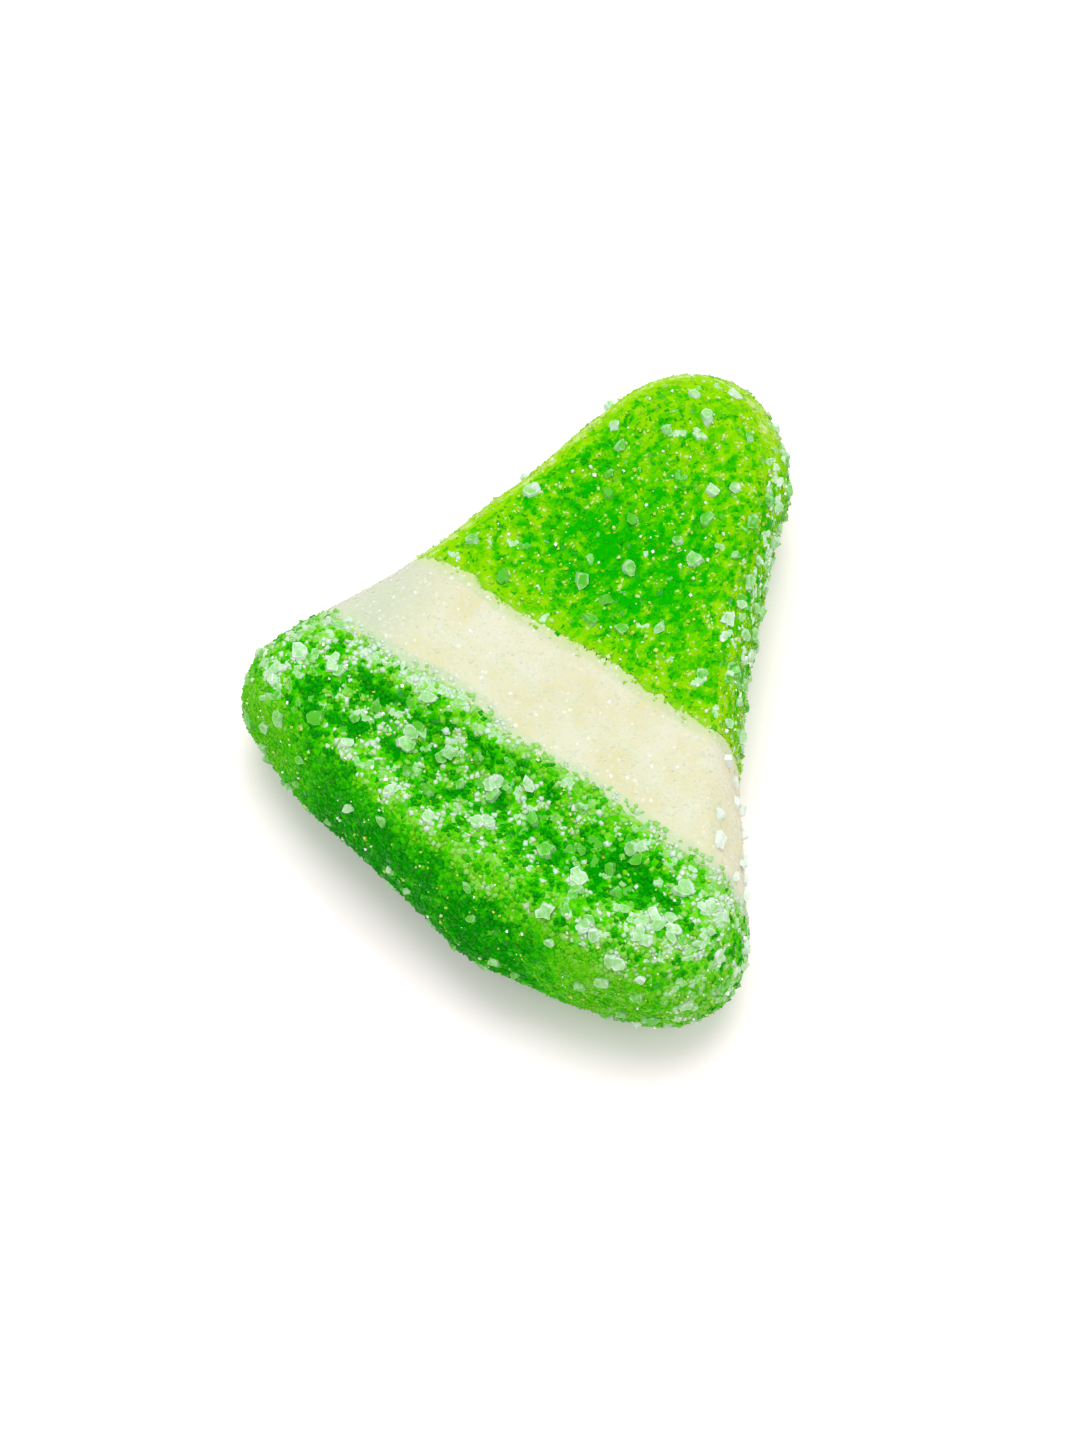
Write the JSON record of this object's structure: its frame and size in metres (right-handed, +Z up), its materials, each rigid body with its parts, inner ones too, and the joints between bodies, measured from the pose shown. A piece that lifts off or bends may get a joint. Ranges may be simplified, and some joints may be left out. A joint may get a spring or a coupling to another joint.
{
  "type": "sugared jelly wedge",
  "caption": "Chewy jelly wedge coated in sugar: green tip, cream band and green base, lying flat; decorative food prop.",
  "frame": {"origin": "middle of the box on the underside, which lies on z = 0", "axes": "+Z up through the thickness, +Y towards the wedge's narrow tip, +X along the wide base"},
  "size_m": [0.0336, 0.0372, 0.0117],
  "materials": {
    "tip_jelly": "translucent bright green jelly under clear sugar grains",
    "cream_jelly": "opaque pale cream foam jelly with fine sugar, matt",
    "base_jelly": "translucent deeper green jelly under thick sugar",
    "sugar": "clear to milky sugar crystals with bright glints"
  },
  "bodies": {
    "root": {"tip_jelly": "tip_jelly", "cream_band": "cream_jelly", "base_jelly": "base_jelly"}
  },
  "joints": []
}
